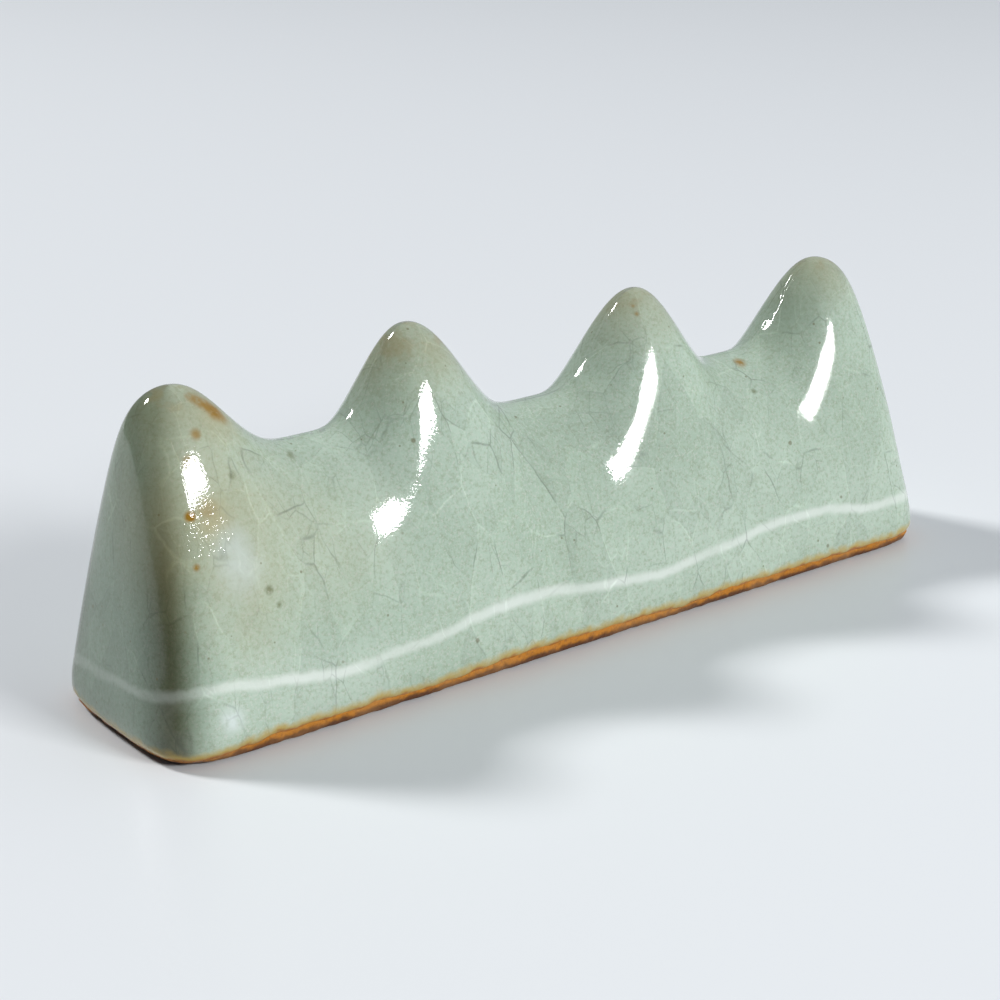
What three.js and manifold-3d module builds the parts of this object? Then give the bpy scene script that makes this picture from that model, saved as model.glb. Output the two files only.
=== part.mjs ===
// Four-peaked ceramic brush rest: a hollow stoneware body, open below, on a bare foot rim, with an
// inlaid line of white slip, all under one coat of celadon glaze.
// Millimetres, +Z up, length along X. The origin is the middle of the foot, on the table.
import * as THREE from "three";
import { mergeVertices } from "three/addons/utils/BufferGeometryUtils.js";
import Module from "manifold-3d";

const wasm = await Module();
wasm.setup();

// The ridge: four peaks, with a saddle between each two for a brush to lie in.
const peakX = [-62.5, -22.5, 22.1, 62.5];
const peakHeight = [50, 52.2, 50.2, 49];
const saddleX = [-40.3, 1.2, 42.2];
const saddleHeight = [38.4, 35.7, 35.6];
const tipBreadth = 2.1; // a higher power broadens the tips of the peaks
const saddleBreadth = 4.6; // a higher power broadens the saddles

// The walls: half depth of the long sides, and how far an end reaches past its peak.
const leanHeight = 50; // height over which the walls lean in
const halfDepth = { foot: 18.8, top: 9.5, crown: 3 };
const endReach = { foot: 13.9, top: 6.5, crown: 16 };
const cornerPower = { foot: 4.2, top: 2.4 }; // 2 is an ellipse, higher is squarer
const tuck = { height: 6, depth: 1.2 }; // the foot draws in a little

// Layers, measured inwards from the glazed surface.
const glazeThickness = 0.9;
const gap = 0.3;
const wallThickness = 4;
const bodyInset = glazeThickness + gap;
const innerInset = bodyInset + wallThickness;

// Foot rim and slip line.
const rimHeight = 2.3;
const rimInset = 0.3;
const rimBevel = 0.9;
const slip = { height: 9.6, wave: 1.3, period: 57, crestX: -15, fall: 0.09, halfWidth: 1.2, depth: 0.9 };

// How finely the surface is divided.
const sideSteps = 12; // between two peaks
const endSteps = 10;
const levelSteps = 8; // from the tuck to the ridge

const mix = (a, b, t) => a + (b - a) * t;
const bodyBottom = rimHeight + gap;

// Height of the ridge at x.
function ridgeHeight(x) {
  const i = peakX.findIndex((right, k) => k > 0 && x <= right + 1e-9) - 1;
  const peak = x < saddleX[i] ? i : i + 1;
  // 0 at the peak, 1 at the lowest point of the saddle
  const away = Math.min(1, Math.abs((x - peakX[peak]) / (saddleX[i] - peakX[peak])));
  return mix(saddleHeight[i], peakHeight[peak], (1 - away ** tipBreadth) ** saddleBreadth);
}

// Distance of a wall from the ridge line at height z, where the ridge is at height top.
function wallReach(wall, z, top, inset) {
  const tucked = tuck.depth * Math.max(0, 1 - z / tuck.height) ** 2;
  const lean = mix(wall.foot, wall.top, z / leanHeight) - tucked - inset;
  return lean * Math.sqrt(Math.max(0, 1 - (z / top) ** wall.crown));
}

// Stations once round the plan, anticlockwise from above: front side, right end, back side, left end.
function planStations() {
  const stations = [];
  const xs = [];
  for (let i = 0; i < peakX.length - 1; i++) {
    for (let k = 0; k < sideSteps; k++) {
      xs.push(mix(peakX[i], peakX[i + 1], k / sideSteps));
    }
  }
  xs.push(peakX.at(-1));
  const endAngles = [];
  for (let k = 1; k < endSteps; k++) {
    const s = (2 * k) / endSteps - 1;
    endAngles.push((Math.PI / 2) * Math.sign(s) * (3 * s ** 2 - 2 * Math.abs(s) ** 3));
  }
  xs.forEach((x) => stations.push({ x, side: -1 }));
  endAngles.forEach((angle) => stations.push({ x: peakX.at(-1), end: 1, angle }));
  [...xs].reverse().forEach((x) => stations.push({ x, side: 1 }));
  endAngles.forEach((angle) => stations.push({ x: peakX[0], end: -1, angle: -angle }));
  return stations;
}

// Point of the surface that lies inset under the glaze, at a station and a height.
function formPoint(station, z, inset) {
  const top = ridgeHeight(station.x) - inset;
  const depth = wallReach(halfDepth, z, top, inset);
  if (!station.end) return [station.x, station.side * depth, z];
  const power = 2 / mix(cornerPower.foot, cornerPower.top, z / top);
  const across = Math.sin(station.angle);
  const along = Math.cos(station.angle) ** power * wallReach(endReach, z, top, inset);
  return [station.x + station.end * along, Math.sign(across) * Math.abs(across) ** power * depth, z];
}

const stations = planStations();

// Rows of points from the bottom to the ridge; the ridge row closes on itself.
function skinRows(inset, bottom) {
  const levels = [];
  for (let k = 1; k <= levelSteps; k++) levels.push(1 - (1 - k / levelSteps) ** 1.6);
  const row = (height) => stations.map((station) => formPoint(station, height(station), inset));
  const top = (station) => ridgeHeight(station.x) - inset;
  return [
    row(() => bottom),
    row(() => tuck.height),
    ...levels.map((level) => row((station) => mix(tuck.height, top(station), level))),
  ];
}

// Closed solid from rows of points, each row once round the plan and the last row joined to the first.
// Triangles with no area, as on the ridge, are dropped.
function solidFromRows(rows) {
  const triangles = [];
  const addTriangle = (a, b, c) => {
    const [p, q, r] = [a, b, c].map((point) => new THREE.Vector3(...point));
    if (q.sub(p).cross(r.sub(p)).length() > 1e-6) triangles.push(...a, ...b, ...c);
  };
  for (let j = 0; j < rows.length; j++) {
    const low = rows[j];
    const high = rows[(j + 1) % rows.length];
    for (let i = 0; i < low.length; i++) {
      const next = (i + 1) % low.length;
      addTriangle(low[i], low[next], high[next]);
      addTriangle(low[i], high[next], high[i]);
    }
  }
  const geometry = new THREE.BufferGeometry();
  geometry.setAttribute("position", new THREE.Float32BufferAttribute(triangles, 3));
  return mergeVertices(geometry, 1e-4);
}

// Hollow cap between two skins, open below.
function hollowCap(outer, inner, bottom) {
  const innerRows = skinRows(inner, bottom).reverse();
  return solidFromRows([...innerRows, ...skinRows(outer, bottom)]);
}

// Ring round the plan whose section is a list of [inset, height above its centre line].
function planRing(section, centreHeight) {
  const rows = section.map(([inset, rise]) =>
    stations.map((station) => formPoint(station, centreHeight(station) + rise, inset)),
  );
  return solidFromRows(rows);
}

// Centre of the slip line: a hand-drawn wave that falls a little towards the back.
function slipHeight(station) {
  const [x, y] = formPoint(station, slip.height, 0);
  const wave = slip.wave * Math.cos((2 * Math.PI * (x - slip.crestX)) / slip.period);
  return slip.height + wave - slip.fall * (y + halfDepth.foot);
}

function slipRing(outerInset, depth, halfWidth) {
  const section = [
    [outerInset, -halfWidth],
    [outerInset, halfWidth],
    [outerInset + depth, halfWidth],
    [outerInset + depth, -halfWidth],
  ];
  return planRing(section, slipHeight);
}

function footRim() {
  const section = [
    [rimInset + rimBevel, 0],
    [rimInset, rimBevel],
    [rimInset, rimHeight],
    [innerInset, rimHeight],
    [innerInset, rimBevel],
    [innerInset - rimBevel, 0],
  ];
  return planRing(section, () => 0);
}

// Boolean difference of two closed geometries.
function subtract(whole, cutter) {
  const [a, b] = [whole, cutter].map(
    (geometry) =>
      new wasm.Manifold(
        new wasm.Mesh({
          numProp: 3,
          vertProperties: geometry.attributes.position.array,
          triVerts: new Uint32Array(geometry.index.array),
        }),
      ),
  );
  const cut = a.subtract(b).getMesh();
  const geometry = new THREE.BufferGeometry();
  geometry.setAttribute("position", new THREE.BufferAttribute(cut.vertProperties, 3));
  geometry.setIndex(new THREE.BufferAttribute(cut.triVerts, 1));
  return geometry;
}

function stonewareBody() {
  const groove = slipRing(glazeThickness, slip.depth + 2 * gap, slip.halfWidth + gap);
  return subtract(hollowCap(bodyInset, innerInset, bodyBottom), groove);
}

const group = new THREE.Group();

function add(name, geometry, color, roughness) {
  geometry.computeVertexNormals();
  const material = new THREE.MeshStandardMaterial({ color, roughness, metalness: 0 });
  const mesh = new THREE.Mesh(geometry, material);
  mesh.name = name;
  group.add(mesh);
}

add("stoneware_body", stonewareBody(), 0xb3a58c, 0.85);
add("foot_rim", footRim(), 0x9c6e42, 0.8);
add("white_slip_line", slipRing(bodyInset, slip.depth, slip.halfWidth), 0xe6eee0, 0.6);
add("celadon_glaze", hollowCap(0, glazeThickness, bodyBottom), 0xa9bdad, 0.12);

export default group;
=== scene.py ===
import math

import bmesh
import bpy
import numpy as np
from mathutils import Euler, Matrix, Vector


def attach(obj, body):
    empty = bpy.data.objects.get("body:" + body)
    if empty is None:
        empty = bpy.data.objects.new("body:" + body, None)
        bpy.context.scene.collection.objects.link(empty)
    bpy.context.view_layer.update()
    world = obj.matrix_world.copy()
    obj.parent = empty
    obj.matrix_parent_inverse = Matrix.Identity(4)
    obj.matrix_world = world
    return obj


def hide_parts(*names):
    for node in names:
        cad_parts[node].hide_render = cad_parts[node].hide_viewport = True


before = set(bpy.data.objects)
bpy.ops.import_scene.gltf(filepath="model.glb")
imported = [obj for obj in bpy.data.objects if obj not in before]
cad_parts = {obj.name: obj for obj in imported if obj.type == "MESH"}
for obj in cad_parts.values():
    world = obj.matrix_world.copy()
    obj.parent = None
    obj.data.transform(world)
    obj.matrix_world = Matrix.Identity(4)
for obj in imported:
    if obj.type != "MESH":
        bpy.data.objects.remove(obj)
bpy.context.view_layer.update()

MM = 0.001

# The ridge, in millimetres: peaks, and the saddle between each two.
PEAK_X = np.array([-62.5, -22.5, 22.1, 62.5])
PEAK_HEIGHT = np.array([50.0, 52.2, 50.2, 49.0])
SADDLE_X = np.array([-40.3, 1.2, 42.2])
SADDLE_HEIGHT = np.array([38.4, 35.7, 35.6])
TIP_BREADTH = 2.1
SADDLE_BREADTH = 4.6

# The walls: how far a side and an end reach from the ridge, at the foot and at the top.
LEAN_HEIGHT = 50.0
HALF_DEPTH = {"foot": 18.8, "top": 9.5, "crown": 3.0}
END_REACH = {"foot": 13.9, "top": 6.5, "crown": 16.0}
CORNER_POWER = {"foot": 4.2, "top": 2.4}
TUCK_HEIGHT = 6.0
TUCK_DEPTH = 1.2

# Layers and lines.
GLAZE_THICKNESS = 0.9
GLAZE_EDGE = 1.7  # mean height of the glaze's lower edge
GLAZE_EDGE_WANDER = 0.28
GLAZE_HANG = 0.75  # how much lower the glaze runs at the front left corner
GLAZE_LIP = 1.3  # height over which the glaze thins out to its edge
FOOT_INSET = 0.45
FOOT_INNER_INSET = 5.2
FOOT_TOP = 2.9
FOOT_BEVEL = 0.9
END_LIFT = 0.75  # the left end's edge stands a little clear of the table
SLIP = {"height": 9.6, "wave": 1.3, "period": 57.0, "crest_x": -15.0, "fall": 0.09, "half_width": 1.2}
SMALLEST_INSET = 0.05  # keeps the uneven glaze inside the plain form

# How finely the visible surface is divided.
SIDE_STEPS = 72
END_STEPS = 56
LEVELS = 116


def mix(a, b, t):
    return a + (b - a) * t


def ridge_height(x):
    """Height of the ridge at x."""
    i = np.clip(np.searchsorted(PEAK_X, x) - 1, 0, len(PEAK_X) - 2)
    peak = np.where(x < SADDLE_X[i], i, i + 1)
    away = np.abs((x - PEAK_X[peak]) / (SADDLE_X[i] - PEAK_X[peak])).clip(0, 1)
    return mix(SADDLE_HEIGHT[i], PEAK_HEIGHT[peak], (1 - away**TIP_BREADTH) ** SADDLE_BREADTH)


def wall_reach(wall, z, top, inset):
    """Distance of a wall from the ridge line at height z, where the ridge is at height top."""
    tucked = TUCK_DEPTH * np.maximum(0, 1 - z / TUCK_HEIGHT) ** 2
    lean = mix(wall["foot"], wall["top"], z / LEAN_HEIGHT) - tucked - inset
    return lean * np.sqrt(np.clip(1 - (z / top) ** wall["crown"], 0, None))


def plan_stations():
    """Stations once round the plan, anticlockwise from above, as arrays x, side, end and angle."""
    steps = np.arange(SIDE_STEPS) / SIDE_STEPS
    xs = [mix(a, b, t) for a, b in zip(PEAK_X[:-1], PEAK_X[1:]) for t in steps] + [PEAK_X[-1]]
    s = 2 * np.arange(1, END_STEPS) / END_STEPS - 1
    angles = np.pi / 2 * np.sign(s) * (3 * s**2 - 2 * np.abs(s) ** 3)
    rows = [(x, -1, 0, 0) for x in xs]
    rows += [(PEAK_X[-1], 0, 1, a) for a in angles]
    rows += [(x, 1, 0, 0) for x in reversed(xs)]
    rows += [(PEAK_X[0], 0, -1, -a) for a in angles]
    return dict(zip(("x", "side", "end", "angle"), np.array(rows).T))


def form_points(plan, z, inset):
    """Points of the surface inset under the glaze, at heights z: rows of levels, columns of stations."""
    top = ridge_height(plan["x"]) - inset
    z = np.minimum(z, top)
    depth = wall_reach(HALF_DEPTH, z, top, inset)
    power = 2 / mix(CORNER_POWER["foot"], CORNER_POWER["top"], z / top)
    across, along = np.sin(plan["angle"]), np.cos(plan["angle"])
    at_end = plan["end"] != 0
    x = plan["x"] + plan["end"] * along**power * wall_reach(END_REACH, z, top, inset)
    y = np.where(at_end, np.sign(across) * np.abs(across) ** power, plan["side"]) * depth
    return np.stack([x + 0 * z, y, z + 0 * x], axis=-1)


def wander(points, wavelength, seed, waves=16):
    """Smooth random field of about unit spread: a sum of sine waves in random directions."""
    rng = np.random.default_rng(seed)
    field = np.zeros(points.shape[:-1])
    for _ in range(waves):
        direction = rng.normal(size=3)
        direction /= np.linalg.norm(direction)
        pitch = 2 * np.pi / (wavelength * rng.uniform(0.7, 1.4))
        field += np.sin(points @ direction * pitch + rng.uniform(0, 2 * np.pi))
    return field / math.sqrt(waves / 2)


def slip_height(x, y):
    """Height of the centre of the slip line: a hand-drawn wave that falls towards the back."""
    wave = SLIP["wave"] * np.cos(2 * np.pi * (x - SLIP["crest_x"]) / SLIP["period"])
    return SLIP["height"] + wave - SLIP["fall"] * (y + HALF_DEPTH["foot"])


def make_mesh(name, rows, attributes=()):
    """Closed mesh from rows of points round the plan, in mm; the last row joins the first."""
    levels, count = rows.shape[:2]
    j, i = np.meshgrid(np.arange(levels), np.arange(count), indexing="ij")
    j2, i2 = (j + 1) % levels, (i + 1) % count
    corners = [j * count + i, j * count + i2, j2 * count + i2, j2 * count + i]
    faces = np.stack(corners, axis=-1).reshape(-1, 4)
    mesh = bpy.data.meshes.new(name)
    mesh.from_pydata((rows.reshape(-1, 3) * MM).tolist(), [], faces.tolist())
    for key, values in dict(attributes).items():
        attribute = mesh.attributes.new(key, "FLOAT", "POINT")
        attribute.data.foreach_set("value", values.astype(np.float32).ravel())
    weld_and_smooth(mesh)
    piece = bpy.data.objects.new(name, mesh)
    bpy.context.scene.collection.objects.link(piece)
    return piece


def weld_and_smooth(mesh):
    """Joins the points that meet on the ridge, drops faces with no area and shades smooth."""
    work = bmesh.new()
    work.from_mesh(mesh)
    bmesh.ops.remove_doubles(work, verts=work.verts, dist=2e-6)
    bmesh.ops.dissolve_degenerate(work, edges=work.edges, dist=1e-7)
    bmesh.ops.recalc_face_normals(work, faces=work.faces)
    for face in work.faces:
        face.smooth = True
    work.to_mesh(mesh)
    work.free()


PLAN = plan_stations()


def glaze_edge():
    """Height of the glaze's lower edge at each station."""
    foot = form_points(PLAN, np.full((1, PLAN["x"].size), GLAZE_EDGE), 0.0)
    slow = wander(foot, 30.0, seed=3)
    quick = wander(foot, 5.0, seed=4)
    hang = GLAZE_HANG * np.exp(-(((foot[..., 0] + 69) / 9) ** 2) - ((foot[..., 1] + 16) / 6) ** 2)
    return (GLAZE_EDGE - hang + GLAZE_EDGE_WANDER * (0.8 * slow + 0.35 * quick))[0]


def glaze_inset(base, above, line):
    """How far the glaze lies inside the plain form: lumps, ripples, a lower lip and a raised slip line."""
    inset = 0.06 * (1 + wander(base, 38.0, seed=5)).clip(0, 2.5)
    inset += 0.005 * wander(base, 8.0, seed=6) + 0.0012 * wander(base, 2.6, seed=7)
    inset += 0.5 * np.clip(1 - above / GLAZE_LIP, 0, 1) ** 2
    inset -= 0.1 * np.exp(-((line / SLIP["half_width"]) ** 2))
    return np.maximum(inset, SMALLEST_INSET)


def left_end_fields(z):
    """How much a point belongs to the two upright corners of the left end, and to the end itself: masks for
    painted shade there.
    """
    is_left = PLAN["end"] < 0
    from_corner = (np.degrees(np.abs(PLAN["angle"])) - 45) / 20
    corner = np.exp(-(from_corner**2)) * is_left * np.clip((47 - z) / 20, 0, 1)
    painted_left_end_shade = np.clip(1.5 * np.cos(PLAN["angle"]), 0, 1) * is_left
    return corner, painted_left_end_shade + 0 * z


def make_glaze():
    """The glaze coat: a thick skin, outside from the lower edge up and inside from the ridge down."""
    edge = glaze_edge()
    top = ridge_height(PLAN["x"])
    w = np.linspace(0, 1, LEVELS)[:, None]
    share = 1 - (1 - w**1.35) ** 1.7
    z = edge + (top - edge) * share
    base = form_points(PLAN, z, 0.0)
    above = z - edge
    line = z - slip_height(base[..., 0], base[..., 1]) - 0.25 * wander(base, 14.0, seed=9)
    inset = glaze_inset(base, above, line)
    outer = form_points(PLAN, np.minimum(z, top - inset), inset)
    outer[-1, :, 2] = top - inset[-1]
    inner_share = np.linspace(1, 0, 22)[:, None]
    inner_top = top - GLAZE_THICKNESS
    inner = form_points(PLAN, edge + (inner_top - edge) * inner_share, GLAZE_THICKNESS)
    far_away = np.full((len(inner), PLAN["x"].size), 9.0)
    none = np.zeros_like(far_away)
    corner, painted_left_end_shade = left_end_fields(z)
    attributes = {
        "above_foot": np.concatenate([above, far_away]),
        "slip_line": np.concatenate([line / SLIP["half_width"], far_away]),
        "tip": np.concatenate([np.clip((z - 40.0) / 9.0, 0, 1), none]),
        # Masks for painted shade on the left end's corners and on the whole left end.
        "corner": np.concatenate([corner, none]),
        "painted_left_end_shade": np.concatenate([painted_left_end_shade, none]),
    }
    return make_mesh("celadon_glaze_coat", np.concatenate([outer, inner]), attributes)


def foot_profile():
    """Section of the rim as (inset, height): a rounded outer bevel, the outer wall, the top, the inside."""
    turns = [t * math.pi / 2 for t in np.linspace(0, 1, 7)]
    profile = [
        (FOOT_INSET + FOOT_BEVEL * (1 - math.sin(turn)), FOOT_BEVEL * (1 - math.cos(turn))) for turn in turns
    ]
    profile += [(FOOT_INSET, h) for h in np.linspace(FOOT_BEVEL, FOOT_TOP, 8)[1:]]
    profile += [(FOOT_INNER_INSET, FOOT_TOP), (FOOT_INNER_INSET, FOOT_BEVEL)]
    profile += [(FOOT_INNER_INSET - FOOT_BEVEL, 0.0)]
    return profile


def make_foot():
    """The bare rim under the glaze, bevelled and granular, with a slight arch under the left end."""
    arch = END_LIFT * np.where(PLAN["end"] < 0, np.cos(PLAN["angle"]) ** 0.6, 0)
    rows = []
    for inset, height in foot_profile():
        z = height + arch * (1 - height / FOOT_TOP)
        z = np.broadcast_to(z, (1, PLAN["x"].size))
        row = form_points(PLAN, z, inset)
        grain = 0.05 * wander(row, 1.7, seed=12) + 0.07 * wander(row, 6.0, seed=13)
        rows.append(form_points(PLAN, z, inset + grain * (inset < 2))[0])
    points = np.array(rows)
    return make_mesh("bare_foot_rim", points, {"foot_height": points[..., 2]})


class Shader:
    """A material's node tree, with short calls for the nodes that the looks are made of."""

    def __init__(self, name):
        self.material = bpy.data.materials.new(name)
        self.material.use_nodes = True
        self.tree = self.material.node_tree
        self.surface = self.tree.nodes["Principled BSDF"]
        metres = self.node("ShaderNodeTexCoord").outputs["Object"]
        self.place = self.vector_math("MULTIPLY", metres, (1000, 1000, 1000))

    def node(self, kind, **settings):
        node = self.tree.nodes.new(kind)
        for key, value in settings.items():
            setattr(node, key, value)
        return node

    def feed(self, socket, value):
        if isinstance(value, bpy.types.NodeSocket):
            self.tree.links.new(value, socket)
        elif isinstance(value, tuple) and len(value) == 3 and socket.type == "RGBA":
            socket.default_value = (*value, 1)
        else:
            socket.default_value = value

    def math(self, operation, a, b=0.0):
        node = self.node("ShaderNodeMath", operation=operation)
        self.feed(node.inputs[0], a)
        self.feed(node.inputs[1], b)
        return node.outputs[0]

    def times(self, first, *others):
        product = first
        for factor in others:
            product = self.math("MULTIPLY", product, factor)
        return product

    def vector_math(self, operation, a, b):
        node = self.node("ShaderNodeVectorMath", operation=operation)
        self.feed(node.inputs[0], a)
        self.feed(node.inputs[1], b)
        return node.outputs[0]

    def attribute(self, name):
        return self.node("ShaderNodeAttribute", attribute_name=name).outputs["Fac"]

    def noise(self, wavelength, detail=2.0, rough=0.5, colour=False):
        node = self.node("ShaderNodeTexNoise")
        self.feed(node.inputs["Vector"], self.place)
        node.inputs["Scale"].default_value = 1 / wavelength
        node.inputs["Detail"].default_value = detail
        node.inputs["Roughness"].default_value = rough
        return node.outputs["Color" if colour else "Fac"]

    def voronoi(self, size, feature, place, output="Distance"):
        node = self.node("ShaderNodeTexVoronoi", feature=feature)
        self.feed(node.inputs["Vector"], place)
        node.inputs["Scale"].default_value = 1 / size
        return node.outputs[output]

    def ramp(self, value, low, high, to_low=0.0, to_high=1.0):
        node = self.node("ShaderNodeMapRange", interpolation_type="SMOOTHSTEP")
        inputs = {"Value": value, "From Min": low, "From Max": high, "To Min": to_low, "To Max": to_high}
        for key, setting in inputs.items():
            self.feed(node.inputs[key], setting)
        return node.outputs["Result"]

    def blend(self, factor, a, b, kind="MIX"):
        node = self.node("ShaderNodeMix", data_type="RGBA", blend_type=kind, clamp_factor=True)
        self.feed(node.inputs["Factor"], factor)
        self.feed(node.inputs[6], a)
        self.feed(node.inputs[7], b)
        return node.outputs[2]

    def scale_colour(self, colour, factor):
        node = self.node("ShaderNodeVectorMath", operation="SCALE")
        self.feed(node.inputs[0], colour)
        self.feed(node.inputs["Scale"], factor)
        return node.outputs[0]

    def spot(self, centre, radius, soft):
        """1 at a point of the surface, in mm, falling to 0 at a radius."""
        away = self.node("ShaderNodeVectorMath", operation="DISTANCE")
        self.feed(away.inputs[0], self.place)
        self.feed(away.inputs[1], centre)
        return self.ramp(away.outputs["Value"], radius * (1 - soft), radius, 1.0, 0.0)

    def channel(self, colour):
        """A random number, 0 to 1, from a random colour."""
        node = self.node("ShaderNodeSeparateColor")
        self.feed(node.inputs[0], colour)
        return node.outputs[0]

    def finish(self, colour, roughness, height):
        """Joins colour, roughness and a relief in mm to the surface."""
        bump = self.node("ShaderNodeBump")
        bump.inputs["Distance"].default_value = MM
        bump.inputs["Strength"].default_value = 1.0
        self.feed(bump.inputs["Height"], height)
        self.feed(self.surface.inputs["Base Color"], colour)
        self.feed(self.surface.inputs["Roughness"], roughness)
        self.feed(self.surface.inputs["Normal"], bump.outputs["Normal"])
        return self.material


# Crackle of the glaze: two nets of fine cracks, drawn out upwards.
CRACKLE_SIZES = ((6.6, 0.15, 1.0), (3.6, 0.11, 0.6))


def crackle_place(shader):
    """Where the nets are looked up: bent a little, and drawn out upwards."""
    bend = shader.vector_math("SUBTRACT", shader.noise(5.0, 2.0, colour=True), (0.5, 0.5, 0.5))
    bend = shader.vector_math("MULTIPLY", bend, (1.5, 1.5, 1.5))
    place = shader.vector_math("ADD", shader.place, bend)
    return shader.vector_math("MULTIPLY", place, (1.0, 1.0, 0.42))


def crackle(shader):
    """Returns the tone of the glaze across its cracks, near 1, and the crack lines, 0 to 1."""
    place = crackle_place(shader)
    tone, lines = 1.0, 0.0
    for size, width, strength in CRACKLE_SIZES:
        edge = shader.times(shader.voronoi(size, "DISTANCE_TO_EDGE", place), size)
        cell = shader.channel(shader.voronoi(size, "F1", place, "Color"))
        near = shader.ramp(edge, 0.0, size * 0.3, 1.0, 0.25)
        shift = shader.times(shader.math("SUBTRACT", cell, 0.5), near, 0.14 * strength)
        shown = shader.ramp(shader.noise(size * 1.7, 1.0), 0.34, 0.6, 0.1, strength)
        line = shader.times(shader.ramp(edge, 0.0, width, 1.0, 0.0), shown)
        tone = shader.math("ADD", shift, tone)
        lines = shader.math("MAXIMUM", line, lines)
    return tone, lines


def specks(shader, size, share, radius):
    """Small round dots: one in some of the cells of a net, 0 to 1."""
    away = shader.times(shader.voronoi(size, "F1", shader.place), size)
    cell = shader.channel(shader.voronoi(size, "F1", shader.place, "Color"))
    reach = shader.times(shader.ramp(cell, 1 - share, 1.0), radius)
    return shader.ramp(shader.math("SUBTRACT", away, reach), -0.5 * radius, 0.0, 1.0, 0.0)


# Marks of the one piece that is shown: centre in mm, radius in mm, strength.
IRON_SPOTS = (
    ((-60.6, -2.6, 48.3), 1.4, 0.6),
    ((-59.6, -2.9, 47.7), 1.6, 0.8),
    ((-58.6, -3.1, 46.9), 1.8, 0.9),
    ((-57.6, -3.2, 45.9), 2.2, 1.2),
    ((-56.6, -3.3, 44.7), 1.7, 0.7),
    ((-61.9, -5.9, 44.1), 1.3, 0.75),
    ((-64.2, -7.5, 40.9), 1.4, 0.8),
    ((-65.9, -10.1, 34.1), 1.2, 1.4),
    ((-66.6, -12.3, 27.5), 0.8, 0.9),
    ((-63.2, -10.1, 34.7), 2.2, 0.4),
    ((19.5, -4.0, 47.1), 0.7, 0.9),
    ((19.5, -3.0, 48.2), 0.6, 0.8),
    ((42.8, -3.4, 34.8), 1.7, 0.9),
)
GREEN_SPOTS = (
    ((-58.0, -8.4, 38.0), 0.9, 0.5),
    ((-56.3, -13.9, 22.1), 1.0, 0.7),
    ((-55.2, -14.6, 19.8), 0.7, 0.6),
    ((-45.7, -3.7, 37.1), 1.1, 0.5),
    ((41.9, -7.6, 30.6), 0.8, 0.6),
)
# Painted shade: darker green on the left flanks of the second, third and fourth peaks.
PAINTED_FLANK_SHADE = (
    ((53.0, -4.0, 42.0), 12.0, 0.6),
    ((-31.0, -4.0, 43.0), 9.0, 0.25),
    ((12.0, -4.0, 42.0), 9.0, 0.3),
)
WARM_STAINS = (
    ((-62.8, -10.6, 33.3), 4.6, 0.7),
    ((-57.0, -3.0, 45.0), 6.0, 0.5),
    ((-62.0, -10.0, 34.0), 22.0, 0.42),
    ((-60.0, -14.0, 20.0), 13.0, 0.25),
    ((-44.0, -13.0, 26.0), 17.0, 0.18),
)
# Pale clouds in the glaze; the last entry is a painted reflection.
CLOUDS_AND_PAINTED_REFLECTION = (
    ((-60.2, -12.9, 25.9), 6.0, 0.5),
    ((-60.5, -12.0, 29.5), 4.5, 0.4),
    # Painted reflection: a soft whitish patch low on the front left corner, where the tucked wall reflects
    # the floor.
    ((-65.4, -17.6, 6.2), 3.0, 0.9),
)
MARKS = (
    (WARM_STAINS, (0.36, 0.31, 0.16), 1.0),
    (CLOUDS_AND_PAINTED_REFLECTION, (0.55, 0.62, 0.60), 1.0),
    # Painted shade on the peaks' left flanks.
    (PAINTED_FLANK_SHADE, (0.19, 0.25, 0.18), 1.0),
    (GREEN_SPOTS, (0.11, 0.12, 0.035), 0.8),
    (IRON_SPOTS, (0.25, 0.135, 0.008), 0.85),
)
PITTED = ((-64.0, -10.6, 31.5), 5.5)  # where the glaze is rough with burst bubbles


def ground_colour(shader):
    """Grey-green glaze with a fine dark and pale mottle."""
    cloudy = shader.ramp(shader.noise(22.0, 3.0), 0.3, 0.7)
    colour = shader.blend(cloudy, (0.335, 0.43, 0.34), (0.40, 0.50, 0.41))
    dark = shader.ramp(shader.noise(0.7, 3.0, rough=0.7), 0.4, 0.72, 0.0, 0.5)
    colour = shader.blend(dark, colour, (0.23, 0.28, 0.18))
    light = shader.ramp(shader.noise(0.36, 2.0, rough=0.7), 0.48, 0.7, 0.0, 0.5)
    return shader.blend(light, colour, (0.48, 0.50, 0.45))


def tint_tips_and_end(shader, colour):
    """Olive and rust at the tips, where the glaze is thin, and painted shade: a darker left end with darker
    brown corners.
    """
    tip = shader.attribute("tip")
    patch = shader.ramp(shader.noise(9.0, 3.0), 0.3, 0.75, 0.6, 1.0)
    colour = shader.blend(shader.times(tip, patch, 0.56), colour, (0.255, 0.215, 0.095))
    # Painted shade: the upright corners of the left end are darkened brown, and the whole left end darker
    # green.
    colour = shader.blend(shader.attribute("corner"), colour, (0.44, 0.37, 0.28), "MULTIPLY")
    colour = shader.blend(shader.attribute("painted_left_end_shade"), colour, (0.56, 0.60, 0.56), "MULTIPLY")
    flecks = shader.ramp(shader.noise(3.0, 3.0), 0.47, 0.66)
    rust = shader.times(shader.ramp(tip, 0.6, 1.0), flecks, 0.25)
    return shader.blend(rust, colour, (0.24, 0.14, 0.02))


def add_marks(shader, colour):
    """Stains, clouds, painted shade on the peaks' left flanks and spots at their places, then small dark
    specks all over; one cloud is a painted reflection.
    """
    for marks, tint, soft in MARKS:
        for centre, radius, strength in marks:
            ragged = shader.ramp(shader.noise(radius * 0.6, 3.0), 0.15, 0.55)
            share = shader.times(shader.spot(centre, radius, soft), ragged, strength)
            colour = shader.blend(share, colour, tint)
    dots = shader.math("MAXIMUM", specks(shader, 2.1, 0.5, 0.28), specks(shader, 4.6, 0.4, 0.5))
    return shader.blend(shader.times(dots, 0.6), colour, (0.13, 0.11, 0.045))


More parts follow.
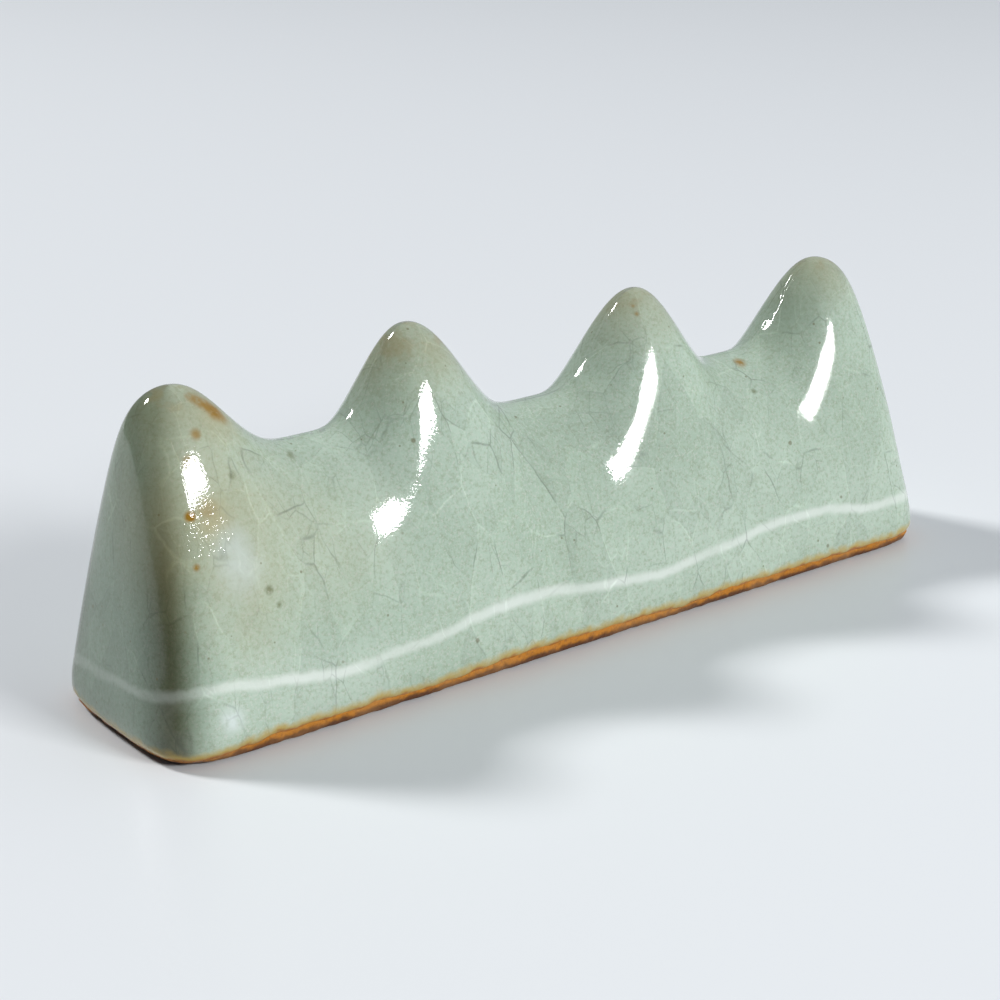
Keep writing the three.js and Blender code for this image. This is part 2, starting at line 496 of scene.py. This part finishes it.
def add_slip_line(shader, colour):
    """The pale line seen through the glaze, with soft edges, fading out round the left end."""
    unsteady = shader.ramp(shader.noise(2.5, 2.0), 0.0, 1.0, -0.25, 0.25)
    away = shader.math("ABSOLUTE", shader.math("ADD", shader.attribute("slip_line"), unsteady))
    along = shader.node("ShaderNodeSeparateXYZ")
    shader.feed(along.inputs[0], shader.place)
    share = shader.times(
        shader.ramp(away, 0.15, 1.05, 1.0, 0.0),
        shader.ramp(along.outputs["X"], -74.0, -63.0, 0.35, 1.0),
        shader.ramp(shader.noise(12.0, 2.0), 0.3, 0.7, 0.6, 0.95),
    )
    return shader.blend(share, colour, (0.59, 0.645, 0.59))


def add_cracks(shader, colour, lines):
    """Crack lines, darker than the glaze in some places and paler in others."""
    contrast = shader.ramp(shader.noise(7.0, 1.0), 0.36, 0.62, -0.34, 0.2)
    return shader.scale_colour(colour, shader.math("ADD", shader.times(lines, contrast), 1.0))


def add_foot_fringe(shader, colour):
    """Golden, then iron brown, where the glaze thins out above the foot."""
    ragged = shader.ramp(shader.noise(2.0, 3.0), 0.2, 0.8, 0.0, 0.9)
    above = shader.math("SUBTRACT", shader.attribute("above_foot"), ragged)
    colour = shader.blend(shader.ramp(above, 0.0, 1.7, 0.85, 0.0), colour, (0.44, 0.30, 0.05))
    return shader.blend(shader.ramp(above, -0.5, 0.35, 0.95, 0.0), colour, (0.34, 0.11, 0.012))


def glaze_relief(shader, lines):
    """Height of the glaze in mm: soft ripples, less cracks, pinholes and burst bubbles."""
    ripples = shader.times(shader.noise(2.4, 2.0), 0.006)
    relief = shader.math("ADD", ripples, shader.times(shader.noise(0.45, 1.0), 0.012))
    bubbles = shader.times(shader.spot(*PITTED, 0.7), shader.ramp(shader.noise(0.6, 1.0), 0.56, 0.8))
    for hollow, depth in ((lines, 0.003), (specks(shader, 2.0, 0.3, 0.18), 0.03), (bubbles, 0.06)):
        relief = shader.math("SUBTRACT", relief, shader.times(hollow, depth))
    return relief


def glaze_material():
    shader = Shader("crackled_celadon_glaze")
    tone, lines = crackle(shader)
    colour = shader.scale_colour(ground_colour(shader), tone)
    colour = tint_tips_and_end(shader, colour)
    colour = add_marks(shader, colour)
    colour = add_slip_line(shader, colour)
    colour = add_cracks(shader, colour, lines)
    colour = add_foot_fringe(shader, colour)
    roughness = shader.ramp(shader.noise(5.0, 2.0), 0.3, 0.7, 0.05, 0.09)
    shader.surface.inputs["IOR"].default_value = 1.52
    return shader.finish(colour, roughness, glaze_relief(shader, lines))


def foot_material():
    """Bare iron-brown clay, orange under the glaze and dark at the table: partly duller bare clay, partly
    painted shade under the bevel.
    """
    shader = Shader("bare_iron_foot")
    uneven = shader.ramp(shader.noise(1.6, 3.0), 0.2, 0.8, -0.35, 0.35)
    height = shader.math("ADD", shader.attribute("foot_height"), uneven)
    # Darker towards the table: partly the duller bare clay, partly painted shade under the bevel.
    colour = shader.blend(shader.ramp(height, 0.7, 1.6), (0.10, 0.036, 0.012), (0.46, 0.175, 0.014))
    grains = shader.ramp(shader.noise(0.7, 3.0, rough=0.7), 0.45, 0.75, 0.0, 0.6)
    colour = shader.blend(grains, colour, (0.15, 0.06, 0.018))
    colour = shader.blend(shader.ramp(shader.noise(7.0, 2.0), 0.4, 0.7, 0.0, 0.3), colour, (0.42, 0.22, 0.08))
    roughness = shader.ramp(shader.noise(0.9, 2.0), 0.2, 0.8, 0.5, 0.8)
    shader.surface.inputs["Specular IOR Level"].default_value = 0.3
    return shader.finish(colour, roughness, shader.times(shader.noise(0.5, 3.0, rough=0.7), 0.16))


def clay_material(name, dark, light):
    """Fired clay: fine grog and soft changes of tone."""
    shader = Shader(name)
    colour = shader.blend(shader.ramp(shader.noise(12.0, 3.0), 0.3, 0.7), dark, light)
    colour = shader.blend(shader.times(specks(shader, 1.6, 0.3, 0.3), 0.5), colour, (0.16, 0.10, 0.06))
    roughness = shader.ramp(shader.noise(3.0, 2.0), 0.3, 0.7, 0.7, 0.9)
    return shader.finish(colour, roughness, shader.times(shader.noise(0.6, 3.0), 0.1))


def paint(piece, material):
    piece.data.materials.clear()
    piece.data.materials.append(material)


def simple_material(name, colour, roughness):
    material = bpy.data.materials.new(name)
    material.use_nodes = True
    surface = material.node_tree.nodes["Principled BSDF"]
    surface.inputs["Base Color"].default_value = (*colour, 1)
    surface.inputs["Roughness"].default_value = roughness
    return material


def make_floor():
    size = 4.0
    mesh = bpy.data.meshes.new("floor")
    corners = [(-size, -size, 0), (size, -size, 0), (size, size, 0), (-size, size, 0)]
    mesh.from_pydata(corners, [], [(0, 1, 2, 3)])
    floor = bpy.data.objects.new("floor", mesh)
    bpy.context.scene.collection.objects.link(floor)
    paint(floor, simple_material("pale_table", (0.74, 0.76, 0.78), 0.36))


# Camera: where it looks from, in degrees round and above the object, and its distance in metres.
CAMERA = {"azimuth": -37.06, "elevation": 19.57, "roll": -0.77, "distance": 0.3436}
CAMERA_TARGET = Vector((-0.0053, 0.0, 0.0201))
CAMERA_FOCAL = 2.176  # focal length as a multiple of the picture's width
SENSOR = 36.0


def toward(azimuth, elevation):
    """Unit vector from the object towards a direction round it: 0 is the front, positive the right."""
    a, e = math.radians(azimuth), math.radians(elevation)
    return Vector((math.sin(a) * math.cos(e), -math.cos(a) * math.cos(e), math.sin(e)))


def make_camera():
    data = bpy.data.cameras.new("camera")
    data.sensor_width = SENSOR
    data.lens = CAMERA_FOCAL * SENSOR
    data.clip_start = 0.01
    camera = bpy.data.objects.new("camera", data)
    bpy.context.scene.collection.objects.link(camera)
    back = toward(CAMERA["azimuth"], CAMERA["elevation"])
    camera.location = CAMERA_TARGET + back * CAMERA["distance"]
    turn = back.to_track_quat("Z", "Y").to_matrix() @ Euler((0, 0, math.radians(CAMERA["roll"]))).to_matrix()
    camera.rotation_euler = turn.to_euler()
    bpy.context.scene.camera = camera


# Softboxes: direction, distance in metres, width and height in metres, power in watts.
LIGHTS = (
    ("front_right_softbox", 17.5, 25.0, 2.0, 0.68, 0.26, 33.0),
    ("back_left_lamp", -152.0, 43.5, 2.0, 0.30, 0.34, 30.0),
)

# Sky: pale towards the front right and above, dark towards the back left.
SKY_BRIGHT_SIDE = (80.0, 8.0)
SKY_DARK = (0.05, 0.054, 0.06)
SKY_BRIGHT = (0.53, 0.57, 0.615)


def make_lights():
    for name, azimuth, elevation, distance, width, height, power in LIGHTS:
        data = bpy.data.lights.new(name, "AREA")
        data.shape = "RECTANGLE"
        data.size = width
        data.size_y = height
        data.energy = power
        light = bpy.data.objects.new(name, data)
        bpy.context.scene.collection.objects.link(light)
        back = toward(azimuth, elevation)
        light.location = back * distance
        light.rotation_euler = back.to_track_quat("Z", "Y").to_euler()
    make_sky()
    bpy.context.scene.view_settings.view_transform = "Standard"


def make_sky():
    world = bpy.data.worlds.new("studio")
    world.use_nodes = True
    nodes, links = world.node_tree.nodes, world.node_tree.links
    facing = nodes.new("ShaderNodeVectorMath")
    facing.operation = "DOT_PRODUCT"
    facing.inputs[1].default_value = toward(*SKY_BRIGHT_SIDE)
    links.new(nodes.new("ShaderNodeTexCoord").outputs["Generated"], facing.inputs[0])
    share = nodes.new("ShaderNodeMapRange")
    share.interpolation_type = "SMOOTHSTEP"
    share.inputs["From Min"].default_value = -0.4
    share.inputs["From Max"].default_value = 0.9
    links.new(facing.outputs["Value"], share.inputs["Value"])
    colour = nodes.new("ShaderNodeMix")
    colour.data_type = "RGBA"
    colour.inputs[6].default_value = (*SKY_DARK, 1)
    colour.inputs[7].default_value = (*SKY_BRIGHT, 1)
    links.new(share.outputs["Result"], colour.inputs["Factor"])
    links.new(colour.outputs[2], nodes["Background"].inputs["Color"])
    bpy.context.scene.world = world


make_camera()
make_lights()
make_floor()

glaze = make_glaze()
paint(glaze, glaze_material())
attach(glaze, "root")
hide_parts("celadon_glaze")

foot = make_foot()
paint(foot, foot_material())
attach(foot, "root")
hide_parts("foot_rim")

stoneware = clay_material("fired_stoneware", (0.36, 0.30, 0.22), (0.50, 0.43, 0.33))
white_slip = clay_material("fired_white_slip", (0.72, 0.76, 0.70), (0.84, 0.87, 0.82))
paint(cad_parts["stoneware_body"], stoneware)
paint(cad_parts["white_slip_line"], white_slip)
